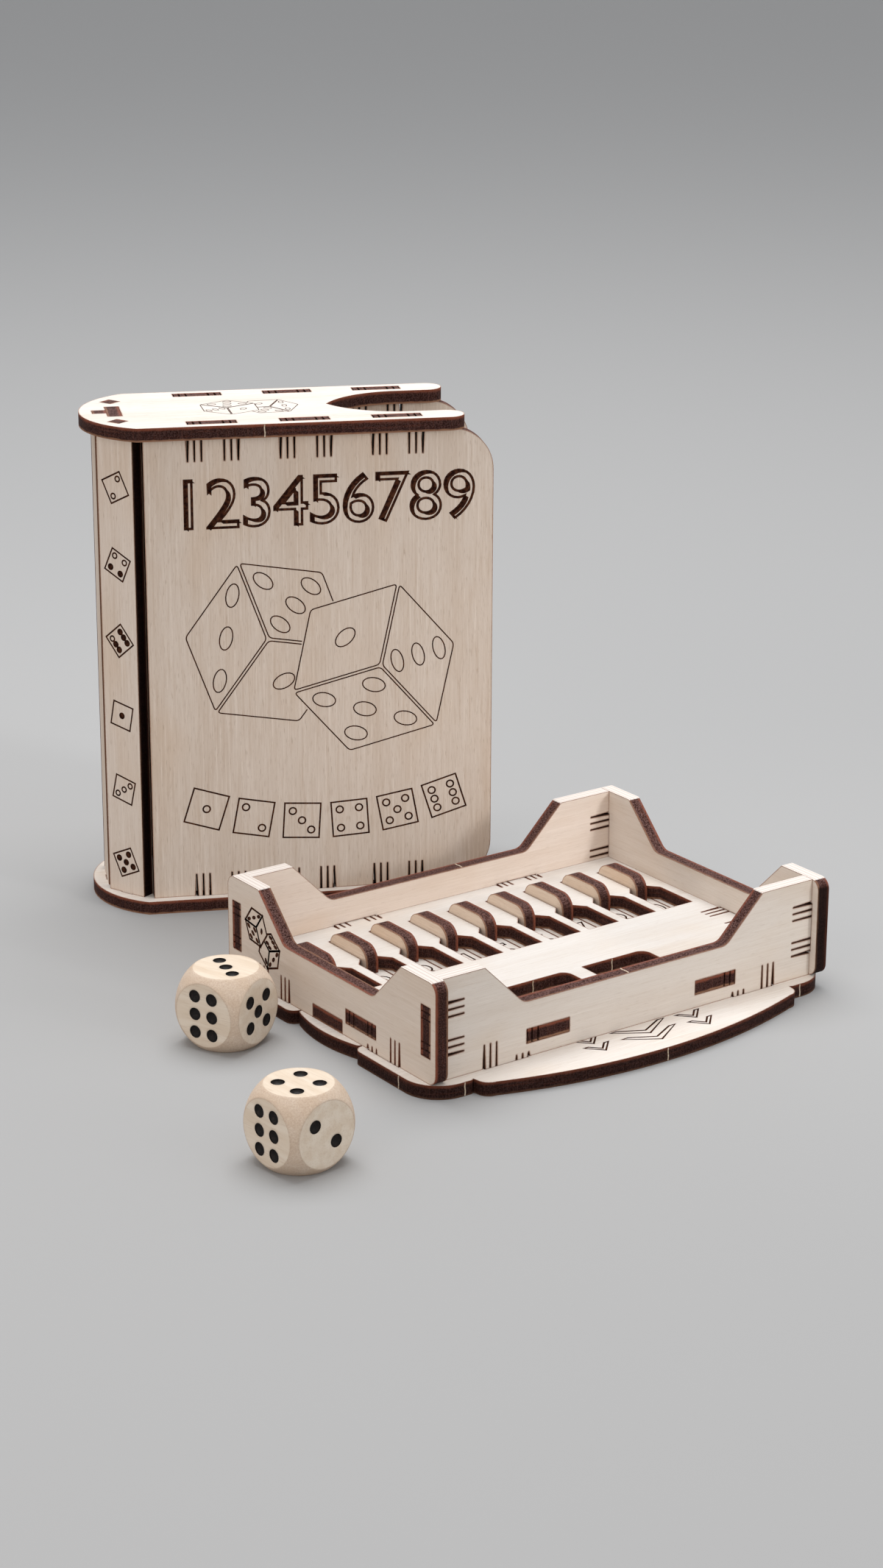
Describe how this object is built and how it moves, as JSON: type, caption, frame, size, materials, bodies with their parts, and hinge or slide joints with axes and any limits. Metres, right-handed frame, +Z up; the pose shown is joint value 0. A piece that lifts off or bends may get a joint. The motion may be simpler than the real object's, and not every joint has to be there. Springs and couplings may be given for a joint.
{
  "type": "shut the box game",
  "caption": "Travel number-closing dice game: a laser-cut plywood tray with sliding numbered levers and dice pockets, a book-shaped standing case that it slides into, and two wooden dice.",
  "frame": {"origin": "on the surface that the tray stands on, under the middle of the tray's four walls", "axes": "+X along the tray's front wall to the right, +Y from the front wall to the back wall, +Z up"},
  "size_m": [0.1481, 0.1672, 0.1118],
  "materials": {
    "tray_ply": "bare birch plywood with laser-burnt edges",
    "deck_ply": "bare pale birch plywood with laser-burnt edges",
    "inner_ply": "bare birch plywood with laser-burnt edges",
    "plate_ply": "bare birch plywood, engraved numeral",
    "lever_ply": "bare birch plywood, burnt all round its edge",
    "case_ply": "bare birch plywood, vertical grain, engraved ornament",
    "cap_ply": "bare birch plywood with laser-burnt edges",
    "dice_wood": "satin beech with black pips"
  },
  "bodies": {
    "tray": {"base_plate": "tray_ply", "front_wall": "tray_ply", "back_wall": "tray_ply", "left_wall": "tray_ply", "right_wall": "tray_ply", "guide_comb": "inner_ply", "deck": "deck_ply"},
    "slider_1": {"number_plate_1": "plate_ply", "lever_1": "lever_ply"},
    "slider_2": {"number_plate_2": "plate_ply", "lever_2": "lever_ply"},
    "slider_3": {"number_plate_3": "plate_ply", "lever_3": "lever_ply"},
    "slider_4": {"number_plate_4": "plate_ply", "lever_4": "lever_ply"},
    "slider_5": {"number_plate_5": "plate_ply", "lever_5": "lever_ply"},
    "slider_6": {"number_plate_6": "plate_ply", "lever_6": "lever_ply"},
    "slider_7": {"number_plate_7": "plate_ply", "lever_7": "lever_ply"},
    "slider_8": {"number_plate_8": "plate_ply", "lever_8": "lever_ply"},
    "slider_9": {"number_plate_9": "plate_ply", "lever_9": "lever_ply"},
    "case": {"bottom_cap": "cap_ply", "top_cap": "cap_ply", "front_cover": "case_ply", "back_cover": "case_ply", "spine_front_strip": "case_ply", "spine_middle_strip": "case_ply", "spine_back_strip": "case_ply", "spine_rib": "case_ply"},
    "near_die": {"die_near": "dice_wood"},
    "far_die": {"die_far": "dice_wood"}
  },
  "joints": [
    {"name": "slide_1", "type": "slide", "parent": "tray", "child": "slider_1", "axis": [0, -1, 0], "range_m": [0, 0.0119]},
    {"name": "slide_2", "type": "slide", "parent": "tray", "child": "slider_2", "axis": [0, -1, 0], "range_m": [0, 0.0119]},
    {"name": "slide_3", "type": "slide", "parent": "tray", "child": "slider_3", "axis": [0, -1, 0], "range_m": [0, 0.0119]},
    {"name": "slide_4", "type": "slide", "parent": "tray", "child": "slider_4", "axis": [0, -1, 0], "range_m": [0, 0.0119]},
    {"name": "slide_5", "type": "slide", "parent": "tray", "child": "slider_5", "axis": [0, -1, 0], "range_m": [0, 0.0119]},
    {"name": "slide_6", "type": "slide", "parent": "tray", "child": "slider_6", "axis": [0, -1, 0], "range_m": [0, 0.0119]},
    {"name": "slide_7", "type": "slide", "parent": "tray", "child": "slider_7", "axis": [0, -1, 0], "range_m": [0, 0.0119]},
    {"name": "slide_8", "type": "slide", "parent": "tray", "child": "slider_8", "axis": [0, -1, 0], "range_m": [0, 0.0119]},
    {"name": "slide_9", "type": "slide", "parent": "tray", "child": "slider_9", "axis": [0, -1, 0], "range_m": [0, 0.0119]},
    {"name": "case_lift", "type": "slide", "parent": "tray", "child": "case", "axis": [0, 0, 1], "range_m": [0, 0.06]},
    {"name": "near_die_lift", "type": "slide", "parent": "tray", "child": "near_die", "axis": [0, 0, 1], "range_m": [0, 0.04]},
    {"name": "far_die_lift", "type": "slide", "parent": "tray", "child": "far_die", "axis": [0, 0, 1], "range_m": [0, 0.04]}
  ]
}
